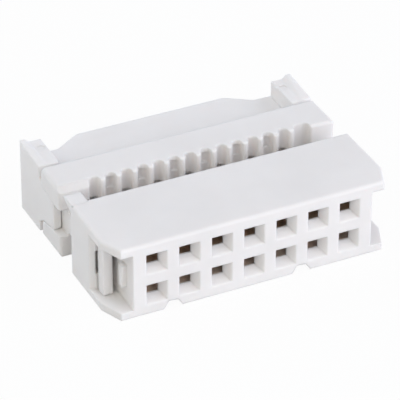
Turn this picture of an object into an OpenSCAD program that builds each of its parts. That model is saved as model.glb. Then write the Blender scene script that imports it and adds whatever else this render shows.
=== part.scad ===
// Ribbon-cable socket with two rows of pins: housing, contacts, cover and strain relief.
// X runs along the rows, Y from the mating face towards the cable, and Z up.
// The origin is the middle of the mating face. The cover stands open, ready for a cable.

/* [Pins] */
// Pins in each of the two rows
columns = 7; // [4:1:20]
// Distance between pins, along a row and across the rows
pin_pitch = 2.54; // [2.4:0.02:2.8]
// Side of a square pin hole at its mouth
hole_side = 1.64; // [1.5:0.02:1.7]
// Side of a pin hole at its throat
throat_side = 0.94; // [0.8:0.02:1.1]
// Length of the throat
throat_length = 0.1; // [0.05:0.01:0.3]
// Distance from the mating face to the contact cavity
hole_length = 0.95; // [0.8:0.05:1.4]

/* [Housing] */
// Depth from the mating face to the cable side
housing_depth = 6.9; // [6.5:0.1:9]
// Plastic between the holes and the outer faces
roof = 0.91; // [0.8:0.01:1.5]
// Thickness of the two plates that overhang the ends
plate = 0.7; // [0.5:0.05:0.75]
// Plastic between the last hole and the end of the core
core_margin = 1.01; // [0.8:0.01:2]
// How far the plates overhang each end of the core
end_pocket = 1.7; // [1.5:0.05:2.5]
// How far the plates narrow at each front corner
lead_in_width = 0.76; // [0.3:0.02:1.2]
// Length of the narrowing at each front corner
lead_in_length = 1.85; // [1:0.05:2.2]
// Radius along the front edges of the plates
front_radius = 0.25; // [0.22:0.01:0.3]
// Radius along the slanted and end edges of the plates
end_radius = 0.2; // [0.1:0.01:0.21]
// Thickness of the wall outside each latch leg
end_wall = 0.41; // [0.3:0.01:0.6]
// Distance from the mating face to the guides of the latch legs
guide_front = 3.55; // [3.3:0.05:4.2]
// How far the end walls are cut back at a slant
wall_slant = 0.3; // [0.1:0.05:0.6]
// Room on each side of a spring fork in its cavity
cavity_room = 0.2; // [0.1:0.02:0.3]
// Thickness of the wall that holds the contacts
back_wall = 1; // [0.7:0.05:1.3]

/* [Locating tab] */
// Width of the tab at the first pin's end
tab_width = 1.3; // [0.8:0.05:2]
// Reach of the tab behind the housing
tab_length = 1.25; // [0.8:0.05:1.4]
// Thickness of the tab at its tip
tab_tip = 0.1; // [0.05:0.01:0.2]

/* [Polarising grooves] */
// Gaps between columns, counted from the left, that carry a groove below
groove_gaps = [1, 5];
// Width of a groove at its mouth
key_mouth = 1.62; // [1.2:0.02:1.8]
// Width of a groove at its root
key_root = 0.68; // [0.4:0.02:0.9]
// Depth of a groove
key_depth = 0.7; // [0.4:0.02:0.72]

/* [Latch] */
// Thickness of the cross bar at the end of a latch leg
bar_thickness = 0.74; // [0.6:0.02:0.78]
// How far a leg's outside lies behind that of its cross bar
leg_inset = 0.2; // [0.1:0.02:0.25]
// Width of a latch leg
leg_width = 1.8; // [1.4:0.1:2.2]
// Depth of the cross bar at the end of a leg
cross_bar = 0.88; // [0.7:0.02:1.1]
// Distance from the mating face to the catch on the core's end
catch_front = 1.1; // [0.5:0.05:1.3]
// Length of the catch's crest
catch_crest = 0.55; // [0.3:0.05:0.6]
// Length of the catch's ramp
catch_ramp = 0.3; // [0.2:0.05:0.4]
// Bevel at the catch's upper and lower rear corners
catch_bevel = 0.35; // [0.1:0.05:0.45]
// Room between the cross bar and its stop when the cover is open
stop_gap = 0.2; // [0.05:0.01:0.25]
// Room on each side of a piece that slides
slide_gap = 0.08; // [0.05:0.01:0.12]

/* [Cover] */
// Gap for the cable between housing and open cover
cable_gap = 2.15; // [2:0.05:3]
// Travel of the cover onto the cable
press_travel = 1.4; // [0.8:0.05:1.5]
// Depth of the cover
cover_depth = 3.2; // [2.8:0.1:5]
// How much lower than the housing the cover is on each side
cover_step = 0.05; // [0.02:0.01:0.2]
// Radius along the front edges of the cover and at its front corners
cover_radius = 0.25; // [0.1:0.01:0.29]
// Radius along the end edges of the cover
cover_end_radius = 0.4; // [0.35:0.01:0.5]
// Width of the groove for one wire
wire_groove = 0.82; // [0.8:0.02:0.86]
// Depth of the groove for one wire
wire_depth = 0.65; // [0.55:0.05:0.9]
// Radius of the ridges between the grooves
ridge_radius = 0.2; // [0.1:0.01:0.2]
// How much wider the last groove is, on its outer side
last_groove_extra = 0.48; // [0.1:0.02:0.8]
// Height of the pocket that takes a contact's tines
tine_pocket = 0.72; // [0.4:0.02:0.8]
// Depth left beyond the tines when the cover is closed
tine_room = 0.2; // [0.1:0.05:0.5]
// Distance from a row of pins out to the shallow recesses beside it
recess_offset = 0.88; // [0.8:0.02:1]
// Height of a shallow recess in a groove
recess_height = 0.8; // [0.5:0.05:1]
// Depth of a shallow recess below its groove
recess_depth = 0.16; // [0.05:0.01:0.3]

/* [Strain relief] */
// Gap between the cover's back and the posts
post_gap = 0.55; // [0.2:0.05:1]
// Width of a post along the row
post_width = 1.65; // [1.2:0.05:2]
// Depth of a post
post_depth = 3.5; // [3:0.1:5]
// Height of a post
post_height = 5.6; // [4.5:0.1:5.8]
// Height of the lip that rises along the top of a post
lip_height = 0.3; // [0.1:0.05:0.4]
// Width of that lip along its crest
lip_crest = 0.35; // [0.2:0.05:0.6]
// Width of the slope beside the crest
lip_slope = 0.4; // [0.2:0.05:0.6]
// Height of the bar between the posts
bar_height = 3; // [2:0.1:4]
// How far the bar stands behind the fronts of the posts
bar_setback = 0.75; // [0.4:0.05:1.5]
// How far the middle of the bar bulges back
bulge = 1.3; // [0.5:0.05:2]
// Distance from a post to the foot of the bulge
bulge_inset = 1.4; // [0.5:0.1:3]
// Length of each slope of the bulge
bulge_slope = 2; // [0.8:0.1:2.5]
// Radius at the head of each slope
head_radius = 1; // [0.2:0.1:1.2]
// Radius at the foot of each slope
foot_radius = 0.6; // [0.2:0.1:1.2]
// Distance from the cover's front to the tip of a clip tongue
tongue_setback = 1.1; // [0.4:0.05:1.2]
// Width of a tongue at its tip
tongue_tip = 2.2; // [1.8:0.1:2.6]
// Width of a tongue at its shoulder
tongue_shoulder = 2.9; // [2.7:0.1:3.4]
// Width of a tongue at its post
tongue_root = 3.8; // [3.5:0.1:4.4]
// Distance from the cover's back to the shoulder
shoulder_inset = 0.25; // [0.1:0.05:0.6]
// Room between a tongue and its channel
clip_gap = 0.06; // [0.05:0.01:0.12]
// Radius of the snap bead on a tongue
bead_radius = 0.25; // [0.2:0.01:0.3]
// Distance from a tongue's tip to its bead
bead_inset = 0.6; // [0.5:0.05:1]
// Radius of the shallow round mark on a post
mark_radius = 0.3; // [0.1:0.05:0.35]
// Depth of that mark
mark_depth = 0.06; // [0.02:0.01:0.15]
// Distance from a post's back to that mark's middle
mark_inset = 1.2; // [0.6:0.05:2]

/* [Contacts] */
// Thickness of the sheet metal
strip = 0.2; // [0.15:0.01:0.25]
// Width of the spring fork
fork_width = 1.5; // [1.2:0.02:1.6]
// Width of the pair of tines
tine_width = 0.62; // [0.56:0.02:0.66]
// Distance from a pin hole's inner end to the tips of the spring beams
beam_inset = 0.15; // [0.1:0.05:0.5]
// Opening between the spring beams where they grip a pin
grip = 0.5; // [0.4:0.02:0.6]
// Distance from the beams' tips to the grip
grip_inset = 0.9; // [0.6:0.05:1.2]
// Distance from a row of pins in to its blades
blade_offset = 0.42; // [0.3:0.02:0.5]
// How far the tines stand out behind the housing
tine_reach = 1.75; // [1.4:0.05:1.9]
// Width of the slot that cuts into the wire's insulation
tine_slot = 0.24; // [0.16:0.02:0.3]
// Length of the bevels at the tips of the tines
tine_bevel = 0.3; // [0.15:0.05:0.5]
// Room between a contact and the housing
contact_gap = 0.03; // [0.02:0.01:0.05]

/* [Hidden] */
$fn = 48;
// How far a cut runs past the face it opens
past = 1;
// How far joined shapes run into each other
bite = 0.2;

wire_pitch = pin_pitch / 2;
wires = 2 * columns;
row_z = pin_pitch / 2;
core_half = (columns - 1) / 2 * pin_pitch + hole_side / 2 + core_margin;
half_length = core_half + end_pocket;
half_height = row_z + hole_side / 2 + roof;
pocket_half = half_height - plate;

leg_outer = half_length - end_wall - slide_gap;
leg_inner = leg_outer - bar_thickness;
channel_floor = leg_outer - leg_inset;
catch_height = leg_inner - slide_gap - core_half;
bar_back = guide_front - stop_gap;
bar_front = bar_back - cross_bar;

cover_front = housing_depth + cable_gap;
cover_back = cover_front + cover_depth;
cover_half = half_height - cover_step;
wire_bottom = cover_front + wire_depth;

post_front = cover_back + post_gap;
post_back = post_front + post_depth;
post_inner = half_length - post_width;
post_half = post_height / 2;
bulge_foot = post_inner - bulge_inset;
bulge_head = bulge_foot - bulge_slope;
// A length that reaches past every piece
beyond = 4 * (half_length + post_back);
bulge_angle = atan2(bulge, bulge_slope);
bulge_back = post_back + bulge;
tongue_front = cover_front + tongue_setback;
shoulder_y = cover_back - shoulder_inset;
bead_x = channel_floor + clip_gap + bead_radius / 2;

cavity_back = housing_depth - back_wall;
roof_z = row_z + hole_side / 2;
fork_reach = hole_side / 2 - contact_gap;
blade_z = row_z - blade_offset;
web_front = cavity_back + contact_gap;
web_back = web_front + strip;
tine_tip = housing_depth + tine_reach;
tine_end = tine_tip + press_travel + tine_room;

UPPER = 1;
LOWER = -1;
ROWS = [UPPER, LOWER];

function column_x(c) = (c - (columns + 1) / 2) * pin_pitch;
function wire_x(w) = (w - (wires + 1) / 2) * wire_pitch;
function tab_underside(y) = half_height - plate + (plate - tab_tip) / tab_length * (y - housing_depth);

// A Y-Z outline, drawn out along X
module along_x(from_x, to_x) {
    translate([from_x, 0, 0]) rotate([90, 0, 90]) linear_extrude(to_x - from_x) children();
}

// An X-Y outline, drawn out equally up and down
module both_ways(height) {
    linear_extrude(height, center = true) children();
}

// A box given by its lowest and highest corners
module block(low, high) {
    translate(low) cube(high - low);
}

// A piece at the right end and its mirror image at the left
module at_both_ends() {
    children();
    mirror([1, 0, 0]) children();
}

// A piece made for the upper row, set at one column of either row
module at_pin(column, row) {
    translate([column_x(column), 0, 0]) rotate([0, row == UPPER ? 0 : 180, 0]) children();
}

// The same piece at every pin of both rows
module at_every_pin() {
    for (row = ROWS, c = [1:columns]) at_pin(c, row) children();
}

// A straight side that runs half its length each way along Y and fills +X, with both corners rounded
module rounded_end(half, radius) {
    translate([radius, -half]) square([beyond, 2 * half]);
    translate([0, radius - half]) square([beyond, 2 * (half - radius)]);
    for (row = ROWS) translate([radius, row * (half - radius)]) circle(radius);
}

// Everything to the left of a plan line, between the slab's faces, with that side's edges rounded
module rounded_side(from, to, half, radius) {
    run = to - from;
    translate([from.x, from.y, 0]) rotate([0, 0, atan2(run.y, run.x)])
        along_x(-beyond, beyond) rounded_end(half, radius);
}

// A slab over a plan that runs from its left rear corner by the front to its right rear corner
module rounded_slab(plan, half, radii) {
    intersection() {
        block([-beyond, -beyond, -beyond], [beyond, plan[0].y, beyond]);
        intersection_for (k = [1:len(plan) - 1]) rounded_side(plan[k - 1], plan[k], half, radii[k - 1]);
    }
}

// The housing's two plates and core in one, with the plates narrowed at the front corners
module housing_blank() {
    rounded_slab([
        [-half_length, housing_depth], [-half_length, lead_in_length], [lead_in_width - half_length, 0],
        [half_length - lead_in_width, 0], [half_length, lead_in_length], [half_length, housing_depth]
    ], half_height, [end_radius, end_radius, front_radius, end_radius, end_radius]);
}

// Side view of the locating tab, a wedge with its slope below
module tab_side() {
    polygon([
        [housing_depth - bite, half_height - plate], [housing_depth, half_height - plate],
        [housing_depth + tab_length, half_height - tab_tip], [housing_depth + tab_length, half_height],
        [housing_depth - bite, half_height]
    ]);
}

// Open space at the right end between the plates, in front of the guides
module end_pocket_space() {
    wall_inside = half_length - end_wall;
    both_ways(2 * pocket_half) polygon([
        [core_half, -past], [half_length + past, -past], [half_length + past, guide_front + wall_slant],
        [half_length, guide_front + wall_slant], [wall_inside, guide_front], [core_half, guide_front]
    ]);
}

// Slot at the right end that a latch leg slides in
module leg_slot() {
    slot_half = leg_width / 2 + slide_gap;
    block([core_half, guide_front - past, -slot_half],
          [half_length - end_wall, housing_depth + past, slot_half]);
}

// Catch on the right end of the core, which the cross bar passes on its way home
module catch() {
    crest = core_half + catch_height;
    crest_back = catch_front + catch_crest;
    foot_back = crest_back + catch_ramp;
    half = leg_width / 2;
    intersection() {
        both_ways(leg_width) polygon([
            [core_half - bite, catch_front], [crest, catch_front], [crest, crest_back],
            [core_half, foot_back], [core_half - bite, foot_back]
        ]);
        along_x(core_half - bite, crest) polygon([
            [catch_front, -half], [foot_back - catch_bevel, -half], [foot_back, catch_bevel - half],
            [foot_back, half - catch_bevel], [foot_back - catch_bevel, half], [catch_front, half]
        ]);
    }
}

// Outline of a pin hole along its axis, drawn with the axis up: a mouth that narrows to the throat
module pin_hole_outline() {
    mouth = hole_side / 2;
    throat = throat_side / 2;
    throat_front = hole_length - throat_length;
    polygon([
        [-mouth, -past], [mouth, -past], [mouth, 0], [throat, throat_front], [throat, hole_length + bite],
        [-throat, hole_length + bite], [-throat, throat_front], [-mouth, 0]
    ]);
}

// One pin hole on the Y axis, tapered on all four sides
module pin_hole() {
    intersection() {
        both_ways(2 * hole_side) pin_hole_outline();
        rotate([0, 90, 0]) both_ways(2 * hole_side) pin_hole_outline();
    }
}

// Space for one upper contact: pin hole, cavity, and the slot that holds the contact
module contact_space() {
    floor_z = row_z - hole_side / 2;
    slot_half = fork_width / 2 + contact_gap;
    cavity_half = fork_width / 2 + cavity_room;
    blade_side = wire_pitch / 2 + tine_width / 2 + contact_gap;
    blade_half = strip / 2 + contact_gap;
    translate([0, 0, row_z]) pin_hole();
    block([-cavity_half, hole_length, floor_z], [cavity_half, cavity_back, roof_z]);
    block([-slot_half, cavity_back - bite, floor_z], [slot_half, housing_depth + past, roof_z]);
    block([-blade_side, cavity_back - bite, blade_z - blade_half],
          [slot_half, housing_depth + past, blade_z + blade_half]);
}

// Polarising groove along the underside, between two columns
module polarising_groove(gap) {
    spread = (key_mouth - key_root) / 2 / key_depth * past;
    translate([(column_x(gap) + column_x(gap + 1)) / 2, housing_depth + past, -half_height])
        rotate([90, 0, 0]) linear_extrude(housing_depth + 2 * past) polygon([
            [-key_mouth / 2 - spread, -past], [key_mouth / 2 + spread, -past],
            [key_root / 2, key_depth], [-key_root / 2, key_depth]
        ]);
}

module housing() color([0.88, 0.88, 0.9]) {
    difference() {
        union() {
            housing_blank();
            along_x(-half_length, tab_width - half_length) tab_side();
        }
        at_both_ends() end_pocket_space();
        at_both_ends() leg_slot();
        at_every_pin() contact_space();
        for (gap = groove_gaps) polarising_groove(gap);
    }
    at_both_ends() catch();
}

// One contact: a spring fork for the pin, and a slotted blade that meets a wire beside it
module contact(column, row) color([0.72, 0.55, 0.3]) at_pin(column, row) {
    spring_fork();
    wire_blade();
}

// Two spring beams on a common web, bent from one strip
module spring_fork() {
    beam_front = hole_length + beam_inset;
    grip_y = beam_front + grip_inset;
    bend_y = cavity_back - strip;
    half_grip = grip / 2;
    outside = [
        [web_back, fork_reach], [bend_y, fork_reach],
        [grip_y, half_grip + strip], [beam_front, fork_reach]
    ];
    inside = [
        [beam_front, fork_reach - strip], [grip_y, half_grip],
        [bend_y, fork_reach - strip], [web_front, fork_reach - strip]
    ];
    upper = concat(outside, inside);
    lower = [for (k = [len(upper) - 1:-1:0]) [upper[k][0], -upper[k][1]]];
    translate([0, 0, row_z]) along_x(-fork_width / 2, fork_width / 2) polygon(concat(upper, lower));
}

// Blade that steps sideways to its wire and ends in two tines
module wire_blade() {
    fork_side = fork_width / 2;
    half = tine_width / 2;
    wire = -wire_pitch / 2;
    step_back = housing_depth - contact_gap;
    slot_bottom = housing_depth + tine_slot / 2;
    half_slot = tine_slot / 2;
    half_mouth = half_slot + tine_bevel / 2;
    bevel_y = tine_tip - tine_bevel;
    outline = [
        [fork_side, web_front], [wire - half, web_front], [wire - half, bevel_y],
        [wire - half_mouth, tine_tip], [wire - half_slot, bevel_y], [wire - half_slot, slot_bottom],
        [wire + half_slot, slot_bottom], [wire + half_slot, bevel_y], [wire + half_mouth, tine_tip],
        [wire + half, bevel_y], [wire + half, step_back], [fork_side, step_back]
    ];
    translate([0, 0, blade_z]) both_ways(strip) polygon(outline);
}

// Plan of a half-round groove of a given depth
module groove_plan(depth) {
    radius = wire_groove / 2;
    translate([0, cover_front + depth - radius]) circle(radius);
    translate([-radius, cover_front - past]) square([wire_groove, past + depth - radius]);
}

// Groove in the cover's front that seats one wire, between rounded ridges
module wire_groove_space(x) {
    mouth = wire_groove / 2 + ridge_radius;
    translate([x, 0]) both_ways(2 * half_height) {
        groove_plan(wire_depth);
        difference() {
            translate([-mouth, cover_front - past]) square([2 * mouth, past + ridge_radius]);
            for (side = [-mouth, mouth]) translate([side, cover_front + ridge_radius]) circle(ridge_radius);
        }
    }
}

// Wider groove for the last wire and the edge of its cable
module last_groove_space() {
    inner_x = wire_x(wires);
    outer_x = inner_x + last_groove_extra;
    wire_groove_space(inner_x);
    wire_groove_space(outer_x);
    block([inner_x, cover_front - past, -half_height], [outer_x, wire_bottom, half_height]);
}

// Pocket in the cover that takes the tines of one upper contact
module tine_space() {
    half = tine_width / 2 + slide_gap;
    block([-wire_pitch / 2 - half, cover_front - past, blade_z - tine_pocket / 2],
          [half - wire_pitch / 2, tine_end, blade_z + tine_pocket / 2]);
}

// Shallow recess in the groove beside an upper contact's own
module recess_space() {
    translate([wire_pitch / 2, 0, row_z + recess_offset])
        both_ways(recess_height) groove_plan(wire_depth + recess_depth);
}

// Side view of a clip tongue, or of its channel when grown by a gap
module tongue_side(gap) {
    edge = [
        [tongue_front, tongue_tip / 2 + gap], [shoulder_y, tongue_shoulder / 2 + gap],
        [post_front, tongue_root / 2 + gap], [post_front + bite, tongue_root / 2 + gap]
    ];
    mirrored = [for (k = [len(edge) - 1:-1:0]) [edge[k][0], -edge[k][1]]];
    polygon(concat(edge, mirrored));
}

// Bead across a tongue, or its seat in the channel when grown by a gap
module bead(gap) {
    translate([bead_x, tongue_front + bead_inset, 0])
        cylinder(h = tongue_tip / 2, r = bead_radius + gap, center = true);
}

// Channel in the right end of the cover that a clip tongue lies in
module tongue_channel() {
    outside = half_length + past;
    front_half = tongue_tip / 2 + clip_gap;
    along_x(channel_floor, outside) tongue_side(clip_gap);
    block([channel_floor, cover_front - past, -front_half], [outside, tongue_front + bite, front_half]);
    bead(clip_gap);
}

// Sloped front edge, up to the first groove, that lets the cover pass under the locating tab
module tab_relief() {
    from_y = cover_front - past;
    to_y = housing_depth + tab_length + slide_gap + press_travel;
    from_z = tab_underside(from_y - press_travel) - slide_gap;
    to_z = tab_underside(to_y - press_travel) - slide_gap;
    top_z = tab_underside(to_y);
    along_x(-half_length - past, wire_x(1)) polygon([
        [from_y, from_z], [to_y, to_z], [to_y, top_z], [from_y, top_z]
    ]);
}

// Latch leg at the right end, with the cross bar that the guides hold back
module latch_leg() {
    leg_half = leg_width / 2;
    cross_half = pocket_half - slide_gap;
    block([leg_inner, bar_back - bite, -leg_half], [channel_floor, cover_front + bite, leg_half]);
    block([leg_inner, bar_front, -cross_half], [leg_outer, bar_back, cross_half]);
}

// The cover before its grooves and channels are cut
module cover_blank() {
    intersection() {
        rounded_slab([
            [-half_length, cover_back], [-half_length, cover_front],
            [half_length, cover_front], [half_length, cover_back]
        ], cover_half, [cover_end_radius, cover_radius, cover_end_radius]);
        translate([0, cover_front, 0]) rotate([0, 0, 90])
            both_ways(2 * half_height) rounded_end(half_length, cover_radius);
    }
}

module cover() color([0.88, 0.88, 0.9]) {
    difference() {
        cover_blank();
        for (w = [1:wires - 1]) wire_groove_space(wire_x(w));
        last_groove_space();
        at_every_pin() tine_space();
        for (c = [1:columns - 1]) at_pin(c, UPPER) recess_space();
        for (c = [1:columns]) at_pin(c, LOWER) recess_space();
        at_both_ends() tongue_channel();
        tab_relief();
    }
    at_both_ends() latch_leg();
}

// Post at the right end, with its raised lip and round mark
module post() {
    flat_width = post_width - lip_crest - lip_slope;
    difference() {
        union() {
            block([post_inner, post_front, -post_half], [half_length, post_back, post_half]);
            post_lip();
        }
        translate([post_inner + flat_width / 2, post_back - mark_inset, post_half - mark_depth])
            cylinder(h = past, r = mark_radius);
    }
}

// Lip along the outside of a post's top, rising to the back
module post_lip() {
    crest = half_length - lip_crest;
    foot = crest - lip_slope;
    intersection() {
        along_x(foot, half_length) polygon([
            [post_front, post_half - bite], [post_back, post_half - bite],
            [post_back, post_half + lip_height], [post_front, post_half]
        ]);
        translate([0, post_back, 0]) rotate([90, 0, 0]) linear_extrude(post_depth) polygon([
            [foot, post_half - bite], [half_length, post_half - bite],
            [half_length, post_half + lip_height], [crest, post_half + lip_height], [foot, post_half]
        ]);
    }
}

// Tongue at the right end that clips the post into the cover
module tongue() {
    along_x(channel_floor + clip_gap, half_length) tongue_side(0);
    bead(0);
}

// Plan of the bar that presses the folded cable against the cover
module bar_plan() {
    front_y = post_front + bar_setback;
    reach = post_inner + bite;
    translate([-reach, front_y]) square([2 * reach, post_back - front_y]);
    at_both_ends() bulge_plan();
}

// Right half of the bulge, with an arc at the head and at the foot of its slope
module bulge_plan() {
    head_cut = head_radius * tan(bulge_angle / 2);
    foot_cut = foot_radius * tan(bulge_angle / 2);
    head_end = [bulge_head + head_cut * cos(bulge_angle), bulge_back - head_cut * sin(bulge_angle)];
    foot_end = [bulge_foot - foot_cut * cos(bulge_angle), post_back + foot_cut * sin(bulge_angle)];
    polygon([
        [-bite, post_back - bite], [bulge_foot, post_back - bite], [bulge_foot, post_back],
        head_end, [bulge_head - head_cut, bulge_back], [-bite, bulge_back]
    ]);
    translate([bulge_head - head_cut, bulge_back - head_radius]) circle(head_radius);
    difference() {
        polygon([
            [foot_end.x, post_back - bite], [bulge_foot + foot_cut, post_back - bite],
            [bulge_foot + foot_cut, post_back], foot_end
        ]);
        translate([bulge_foot + foot_cut, post_back + foot_radius]) circle(foot_radius);
    }
}

module strain_relief() color([0.88, 0.88, 0.9]) {
    both_ways(bar_height) bar_plan();
    at_both_ends() post();
    at_both_ends() tongue();
}

housing();
cover();
strain_relief();
for (c = [1:columns]) contact(c, UPPER);
for (c = [1:columns]) contact(c, LOWER);
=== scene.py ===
import math

import bmesh
import bpy
from mathutils import Matrix, Vector


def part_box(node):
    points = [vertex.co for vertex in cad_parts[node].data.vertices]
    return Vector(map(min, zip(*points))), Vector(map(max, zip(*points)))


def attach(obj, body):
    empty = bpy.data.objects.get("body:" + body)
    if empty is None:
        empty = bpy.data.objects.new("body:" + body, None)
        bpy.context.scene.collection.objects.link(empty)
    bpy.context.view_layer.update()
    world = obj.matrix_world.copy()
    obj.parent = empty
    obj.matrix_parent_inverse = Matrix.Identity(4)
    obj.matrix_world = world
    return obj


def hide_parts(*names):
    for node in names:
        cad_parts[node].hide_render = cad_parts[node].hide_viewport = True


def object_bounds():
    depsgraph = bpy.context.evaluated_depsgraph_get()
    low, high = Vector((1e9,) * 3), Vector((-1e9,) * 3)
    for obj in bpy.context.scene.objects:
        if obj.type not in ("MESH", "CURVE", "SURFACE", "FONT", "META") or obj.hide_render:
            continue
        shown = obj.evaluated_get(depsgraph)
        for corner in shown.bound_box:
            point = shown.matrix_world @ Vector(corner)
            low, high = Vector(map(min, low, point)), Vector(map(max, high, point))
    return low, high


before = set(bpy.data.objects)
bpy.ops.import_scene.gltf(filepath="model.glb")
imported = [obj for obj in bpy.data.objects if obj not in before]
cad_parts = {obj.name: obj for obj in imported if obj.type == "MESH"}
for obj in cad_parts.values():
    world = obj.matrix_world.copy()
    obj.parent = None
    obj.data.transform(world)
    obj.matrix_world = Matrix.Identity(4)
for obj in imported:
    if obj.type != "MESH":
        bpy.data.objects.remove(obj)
cad_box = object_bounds()

# Housing
# The body of the socket is one moulding in light grey glass-filled polyester.
# It takes the header's pins in front and the contacts from behind, and its ends guide the cover's legs.

MM = 0.001
MERGE_DISTANCE = 0.0005 * MM
FLAT_ANGLE = math.radians(1)
EDGE_ANGLE = math.radians(20)
BEVEL_STEPS = 5
FINE_EDGE = 0.04 * MM
# An edge is rounded only where each edge at its ends is longer than this many radii.
ROOM = 3

DARK_GREY = (0.795, 0.772, 0.757)
LIGHT_GREY = (0.825, 0.802, 0.787)
CLOUD_LIMITS = (0.3, 0.7)
CLOUDS_PER_METRE = 260
GRAINS_PER_METRE = 9000
GRAIN_STRENGTH = 0.12
GRAIN_DEPTH = 0.01 * MM
SOFT_EDGE = 0.18 * MM
PLASTIC_ROUGHNESS = (0.64, 0.78)
SCATTER_SHARE = 0.5
SCATTER_DEPTH = 0.6 * MM
SCATTER_COLOUR = (1, 0.9, 0.85)


def made_plain(piece):
    """Turns a piece's modifiers into its own mesh."""
    shown = piece.evaluated_get(bpy.context.evaluated_depsgraph_get())
    plain = bpy.data.meshes.new_from_object(shown)
    piece.modifiers.clear()
    piece.data = plain
    plain.name = piece.name


def keep_faces_flat(mesh):
    """Shades each corner by the faces around it, large ones most, without those beyond an edge."""
    around = [[] for _ in mesh.vertices]
    for face in mesh.polygons:
        for corner in face.vertices:
            around[corner].append(face)
    normals = []
    for face in mesh.polygons:
        for corner in face.vertices:
            near = [f.normal * f.area for f in around[corner] if f.normal.angle(face.normal, 0) < EDGE_ANGLE]
            normals.append(sum(near, Vector()).normalized())
    mesh.normals_split_custom_set(normals)


def softened_copy(node, name, rounding):
    """A copy of a solid with its sharp edges rounded by the radius rounding(edge), where there is room."""
    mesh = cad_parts[node].data.copy()
    mesh.name = name
    shape = bmesh.new()
    shape.from_mesh(mesh)
    bmesh.ops.remove_doubles(shape, verts=shape.verts[:], dist=MERGE_DISTANCE)
    bmesh.ops.dissolve_limit(shape, angle_limit=FLAT_ANGLE, verts=shape.verts[:], edges=shape.edges[:])
    weight = shape.edges.layers.float.new("bevel_weight_edge")
    sharp = [e for e in shape.edges if len(e.link_faces) == 2 and e.calc_face_angle() > EDGE_ANGLE]
    radii = {e: rounding(e) for e in sharp}
    widest = max(radii.values())
    for edge, radius in radii.items():
        room = min(other.calc_length() for corner in edge.verts for other in corner.link_edges)
        edge[weight] = radius / widest if room > ROOM * radius else 0
    for face in shape.faces:
        face.smooth = True
    shape.to_mesh(mesh)
    shape.free()
    mesh.materials.clear()
    piece = bpy.data.objects.new(name, mesh)
    bpy.context.scene.collection.objects.link(piece)
    bevel = piece.modifiers.new("rounded edges", "BEVEL")
    bevel.limit_method = "WEIGHT"
    bevel.width = widest
    bevel.segments = BEVEL_STEPS
    bevel.use_clamp_overlap = False
    made_plain(piece)
    keep_faces_flat(piece.data)
    return piece


def new_finish(name):
    """A new material, with its node tree, its shader and the piece's own coordinates."""
    material = bpy.data.materials.new(name)
    material.use_nodes = True
    tree = material.node_tree
    place = tree.nodes.new("ShaderNodeTexCoord").outputs["Object"]
    return material, tree, tree.nodes["Principled BSDF"], place


def speckles(tree, place, scale, detail):
    """A noise pattern with about so many speckles to each unit of place."""
    noise = tree.nodes.new("ShaderNodeTexNoise")
    noise.inputs["Scale"].default_value = scale
    noise.inputs["Detail"].default_value = detail
    tree.links.new(place, noise.inputs["Vector"])
    return noise.outputs["Fac"]


def two_tones(tree, pattern, limits, dark, light):
    """A colour that goes from dark to light while a pattern goes from one limit to the other."""
    ramp = tree.nodes.new("ShaderNodeValToRGB")
    for stop, limit, colour in zip(ramp.color_ramp.elements, limits, (dark, light)):
        stop.position = limit
        stop.color = (*colour, 1)
    tree.links.new(pattern, ramp.inputs["Fac"])
    return ramp.outputs["Color"]


def varied(tree, pattern, least, most):
    """A value that follows a pattern between two ends."""
    span = tree.nodes.new("ShaderNodeMapRange")
    span.inputs["To Min"].default_value = least
    span.inputs["To Max"].default_value = most
    tree.links.new(pattern, span.inputs["Value"])
    return span.outputs["Result"]


def bumps(tree, pattern, strength, depth):
    """A bump node that raises a surface by a pattern."""
    bump = tree.nodes.new("ShaderNodeBump")
    bump.inputs["Strength"].default_value = strength
    bump.inputs["Distance"].default_value = depth
    tree.links.new(pattern, bump.inputs["Height"])
    return bump


def moulded_plastic(name, painted_light):
    """Light grey moulded plastic with faint flow clouds and a fine spark-eroded grain."""
    material, tree, shader, place = new_finish(name)
    clouds = speckles(tree, place, CLOUDS_PER_METRE, 3)
    # A factor above 1 lifts both greys, which paints light into the plastic's colour.
    dark, light = ([channel * painted_light for channel in grey] for grey in (DARK_GREY, LIGHT_GREY))
    tree.links.new(two_tones(tree, clouds, CLOUD_LIMITS, dark, light), shader.inputs["Base Color"])
    grain = speckles(tree, place, GRAINS_PER_METRE, 2)
    tree.links.new(varied(tree, grain, *PLASTIC_ROUGHNESS), shader.inputs["Roughness"])
    soft_edges = tree.nodes.new("ShaderNodeBevel")
    soft_edges.samples = 8
    soft_edges.inputs["Radius"].default_value = SOFT_EDGE
    bump = bumps(tree, grain, GRAIN_STRENGTH, GRAIN_DEPTH)
    tree.links.new(soft_edges.outputs["Normal"], bump.inputs["Normal"])
    tree.links.new(bump.outputs["Normal"], shader.inputs["Normal"])
    shader.inputs["Subsurface Weight"].default_value = SCATTER_SHARE
    shader.inputs["Subsurface Radius"].default_value = SCATTER_COLOUR
    shader.inputs["Subsurface Scale"].default_value = SCATTER_DEPTH
    return material


plastic = moulded_plastic("moulded plastic", 1)
housing = softened_copy("housing", "socket_housing", lambda edge: FINE_EDGE)
housing.data.materials.append(plastic)
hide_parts("housing")
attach(housing, "housing")

# Contacts
# Each contact is stamped and bent from bronze strip: a fork that grips a pin, and two tines for a wire.
# They are pushed into the housing from behind. The lower row is turned over, and its bronze is painted
# lighter as painted light.

COLUMNS = 7
STAMPED_EDGE = 0.02 * MM
BEND_RADIUS = 0.3 * MM
# The strip's bends lie between these two distances behind the fork's front end.
BENDS_FROM = 0.3 * MM
BENDS_TO = 1.5 * MM
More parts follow.
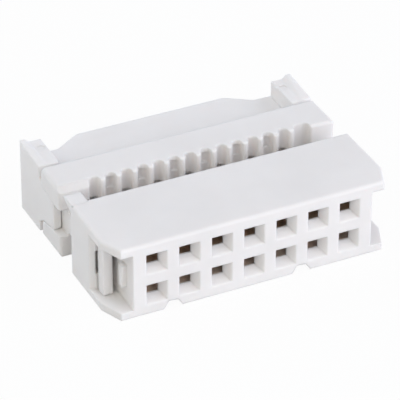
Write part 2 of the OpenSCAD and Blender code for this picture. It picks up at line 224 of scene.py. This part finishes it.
# An edge whose direction has at least this share along X runs across the strip.
ACROSS = 0.99
TARNISH_PER_METRE = 1500
TARNISH_LIMITS = (0.35, 0.7)
ROLLING_PER_METRE = (9000, 400, 9000)
ROLLING_STRENGTH = 0.1
ROLLING_DEPTH = 0.005 * MM
BRONZE_ROUGHNESS = (0.28, 0.46)
first_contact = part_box("contact_upper_1")
last_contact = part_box(f"contact_upper_{COLUMNS}")
middle_contact = f"contact_upper_{(COLUMNS + 1) // 2}"
pin_pitch = (last_contact[0].x - first_contact[0].x) / (COLUMNS - 1)
fork_front = first_contact[0].y


def contact_rounding(edge):
    """A wide radius at the strip's bends, and a fine one at its stamped edges."""
    start, end = (corner.co for corner in edge.verts)
    runs_across = abs((end - start).normalized().x) > ACROSS
    behind_front = (start.y + end.y) / 2 - fork_front
    return BEND_RADIUS if runs_across and BENDS_FROM < behind_front < BENDS_TO else STAMPED_EDGE


def phosphor_bronze(name, dark, bright):
    """Stamped bronze with rolling marks along the strip and a dull tarnish between two tones."""
    material, tree, shader, place = new_finish(name)
    tarnish = speckles(tree, place, TARNISH_PER_METRE, 4)
    tree.links.new(two_tones(tree, tarnish, TARNISH_LIMITS, dark, bright), shader.inputs["Base Color"])
    stretch = tree.nodes.new("ShaderNodeMapping")
    stretch.inputs["Scale"].default_value = ROLLING_PER_METRE
    tree.links.new(place, stretch.inputs["Vector"])
    rolling = speckles(tree, stretch.outputs["Vector"], 1, 2)
    tree.links.new(varied(tree, rolling, *BRONZE_ROUGHNESS), shader.inputs["Roughness"])
    bump = bumps(tree, rolling, ROLLING_STRENGTH, ROLLING_DEPTH)
    tree.links.new(bump.outputs["Normal"], shader.inputs["Normal"])
    shader.inputs["Metallic"].default_value = 1
    return material


def contact_row_tree():
    """Sets one contact at every column of a row, turned over for the lower row."""
    tree = bpy.data.node_groups.new("contact row", "GeometryNodeTree")
    for name, kind in (
        ("Contact", "Geometry"),
        ("Columns", "Int"),
        ("Pitch", "Float"),
        ("First column", "Float"),
        ("Turn", "Float"),
        ("Metal", "Material"),
    ):
        tree.interface.new_socket(name, in_out="INPUT", socket_type=f"NodeSocket{kind}")
    tree.interface.new_socket("Row", in_out="OUTPUT", socket_type="NodeSocketGeometry")
    given = tree.nodes.new("NodeGroupInput")
    result = tree.nodes.new("NodeGroupOutput")
    columns = tree.nodes.new("GeometryNodeMeshLine")
    start = tree.nodes.new("ShaderNodeCombineXYZ")
    step = tree.nodes.new("ShaderNodeCombineXYZ")
    turn = tree.nodes.new("ShaderNodeCombineXYZ")
    place = tree.nodes.new("GeometryNodeInstanceOnPoints")
    realize = tree.nodes.new("GeometryNodeRealizeInstances")
    finish = tree.nodes.new("GeometryNodeSetMaterial")
    tree.links.new(given.outputs["First column"], start.inputs["X"])
    tree.links.new(given.outputs["Pitch"], step.inputs["X"])
    tree.links.new(given.outputs["Turn"], turn.inputs["Y"])
    tree.links.new(given.outputs["Columns"], columns.inputs["Count"])
    tree.links.new(start.outputs["Vector"], columns.inputs["Start Location"])
    tree.links.new(step.outputs["Vector"], columns.inputs["Offset"])
    tree.links.new(columns.outputs["Mesh"], place.inputs["Points"])
    tree.links.new(given.outputs["Contact"], place.inputs["Instance"])
    tree.links.new(turn.outputs["Vector"], place.inputs["Rotation"])
    tree.links.new(place.outputs["Instances"], realize.inputs["Geometry"])
    tree.links.new(realize.outputs["Geometry"], finish.inputs["Geometry"])
    tree.links.new(given.outputs["Metal"], finish.inputs["Material"])
    tree.links.new(finish.outputs["Geometry"], result.inputs["Row"])
    return tree


tarnished = phosphor_bronze("tarnished bronze", dark=(0.46, 0.36, 0.28), bright=(0.72, 0.58, 0.46))
# Painted light: the lower row's bronze is painted lighter than the upper row's, for the light that reaches
# further into the lower holes.
painted_lighter = phosphor_bronze("cleaner bronze", dark=(0.7, 0.61, 0.54), bright=(0.95, 0.84, 0.75))
row_tree = contact_row_tree()
row_inputs = {item.name: item.identifier for item in row_tree.interface.items_tree if item.in_out == "INPUT"}
for row, turn, bronze in (("upper", 0, tarnished), ("lower", math.pi, painted_lighter)):
    contacts = softened_copy(middle_contact, f"contacts_{row}", contact_rounding)
    repeat = contacts.modifiers.new("contact row", "NODES")
    repeat.node_group = row_tree
    repeat[row_inputs["Columns"]] = COLUMNS
    repeat[row_inputs["Pitch"]] = pin_pitch
    repeat[row_inputs["First column"]] = -(COLUMNS - 1) / 2 * pin_pitch
    repeat[row_inputs["Turn"]] = turn
    repeat[row_inputs["Metal"]] = bronze
    made_plain(contacts)
    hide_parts(*[f"contact_{row}_{column}" for column in range(1, COLUMNS + 1)])
    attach(contacts, "housing")

# Cover
# The cover is a second moulding in the same plastic, with a comb of wire grooves and two latch legs.
# Its legs slide in the housing's ends. It is pressed down on the cable, and stands open here.

cover = softened_copy("cover", "press_cover", lambda edge: FINE_EDGE)
cover.data.materials.append(plastic)
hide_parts("cover")
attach(cover, "cover")

# Strain relief
# This is a third moulding: a bar between two posts that would hold the folded cable down.
# Its colour is painted a little paler, as painted light on the bar's top where the cover shades it.
# Its tongues clip into channels in the cover's ends.

POST_EDGE = 0.08 * MM
# Painted light: a factor that lifts this plastic's greys, standing in for light the cover keeps off the
# bar's top.
PAINTED_LIGHT_LIFT = 1.035
relief = softened_copy("strain_relief", "strain_relief_clip", lambda edge: POST_EDGE)
relief.data.materials.append(moulded_plastic("moulded plastic with painted light", PAINTED_LIGHT_LIFT))
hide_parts("strain_relief")
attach(relief, "cover")

# Floor and surroundings
# The connector lies on a plain white sheet in a white studio.
# The sheet keeps a faint shadow, and everything else around the connector is white.

FLOOR_HALF = 400 * MM
PAPER = (0.8, 0.8, 0.8, 1)
EVEN_SHARE = 0.95
AMBIENT = 0.15
WHITE = 1
floor_z = cad_box[0].z
corners = [(x * FLOOR_HALF, y * FLOOR_HALF, floor_z) for x, y in ((-1, -1), (1, -1), (1, 1), (-1, 1))]
floor_mesh = bpy.data.meshes.new("studio_floor")
floor_mesh.from_pydata(corners, [], [(0, 1, 2, 3)])
floor = bpy.data.objects.new("studio_floor", floor_mesh)
bpy.context.scene.collection.objects.link(floor)


def seen_directly(tree):
    """A factor that is 1 for rays from the camera, mirrors and glass."""
    path = tree.nodes.new("ShaderNodeLightPath")
    mirrored = tree.nodes.new("ShaderNodeMath")
    mirrored.operation = "MAXIMUM"
    tree.links.new(path.outputs["Is Glossy Ray"], mirrored.inputs[0])
    tree.links.new(path.outputs["Is Transmission Ray"], mirrored.inputs[1])
    direct = tree.nodes.new("ShaderNodeMath")
    direct.operation = "MAXIMUM"
    tree.links.new(path.outputs["Is Camera Ray"], direct.inputs[0])
    tree.links.new(mirrored.outputs["Value"], direct.inputs[1])
    return direct.outputs["Value"]


def white_sheet():
    """White paper that looks evenly lit, with a share of its shading left to hold a shadow."""
    material = bpy.data.materials.new("white sheet")
    material.use_nodes = True
    tree = material.node_tree
    tree.nodes.remove(tree.nodes["Principled BSDF"])
    paper = tree.nodes.new("ShaderNodeBsdfDiffuse")
    paper.inputs["Color"].default_value = PAPER
    glow = tree.nodes.new("ShaderNodeEmission")
    lit = tree.nodes.new("ShaderNodeMixShader")
    lit.inputs["Fac"].default_value = EVEN_SHARE
    tree.links.new(paper.outputs["BSDF"], lit.inputs[1])
    tree.links.new(glow.outputs["Emission"], lit.inputs[2])
    sheet = tree.nodes.new("ShaderNodeMixShader")
    tree.links.new(seen_directly(tree), sheet.inputs["Fac"])
    tree.links.new(paper.outputs["BSDF"], sheet.inputs[1])
    tree.links.new(lit.outputs["Shader"], sheet.inputs[2])
    tree.links.new(sheet.outputs["Shader"], tree.nodes["Material Output"].inputs["Surface"])
    return material


floor_mesh.materials.append(white_sheet())

world = bpy.data.worlds.new("white studio")
world.use_nodes = True
studio = world.node_tree
background = studio.nodes["Background"]
background.inputs["Color"].default_value = (1, 1, 1, 1)
strength = varied(studio, seen_directly(studio), AMBIENT, WHITE)
studio.links.new(strength, background.inputs["Strength"])
bpy.context.scene.world = world
bpy.context.scene.view_settings.view_transform = "Standard"

# Lamps
# Four large softboxes stand around: in front on the right, at the right end, high on the left, and behind.
# They are far bigger than the connector, so its shadows stay soft.

LAMP_DISTANCE = 300 * MM
LAMP_SIZE = 300 * MM
cad_centre = (cad_box[0] + cad_box[1]) / 2


def facing(azimuth, elevation):
    """The turn of a lamp or camera that looks back from a direction given in degrees."""
    around = Matrix.Rotation(math.radians(azimuth), 4, "Z")
    return around @ Matrix.Rotation(math.radians(90 - elevation), 4, "X")


def softbox(name, azimuth, elevation, power, colour):
    """A square softbox that faces the connector from a given direction."""
    lamp = bpy.data.lights.new(name, "AREA")
    lamp.size = LAMP_SIZE
    lamp.energy = power
    lamp.color = colour
    box = bpy.data.objects.new(name, lamp)
    bpy.context.scene.collection.objects.link(box)
    stand_off = Matrix.Translation((0, 0, LAMP_DISTANCE))
    box.matrix_world = Matrix.Translation(cad_centre) @ facing(azimuth, elevation) @ stand_off


softbox("front right softbox", azimuth=33, elevation=25, power=0.77, colour=(0.88, 0.91, 1))
softbox("right end softbox", azimuth=90, elevation=25, power=0.29, colour=(0.86, 0.88, 1))
softbox("front left softbox", azimuth=-55, elevation=38, power=0.4, colour=(1, 0.99, 0.92))
softbox("rear softbox", azimuth=-155, elevation=30, power=0.59, colour=(0.8, 0.87, 1))

# Camera
# A long lens looks down on the connector from its front left corner, as a product photo does.
# The view's centre lies a little left of and above the origin.

AZIMUTH = -25.8
ELEVATION = 33.25
ROLL = 0.17
CAMERA_DISTANCE = 200 * MM
FOCAL_LENGTH = 253.7
NEAREST = 10 * MM
AIM_RIGHT = -3.865 * MM
AIM_UP = 3.635 * MM
lens = bpy.data.cameras.new("product camera")
lens.lens = FOCAL_LENGTH
lens.clip_start = NEAREST
camera = bpy.data.objects.new("product camera", lens)
bpy.context.scene.collection.objects.link(camera)
aim = facing(AZIMUTH, ELEVATION) @ Matrix.Rotation(math.radians(ROLL), 4, "Z")
camera.matrix_world = aim @ Matrix.Translation((AIM_RIGHT, AIM_UP, CAMERA_DISTANCE))
bpy.context.scene.camera = camera
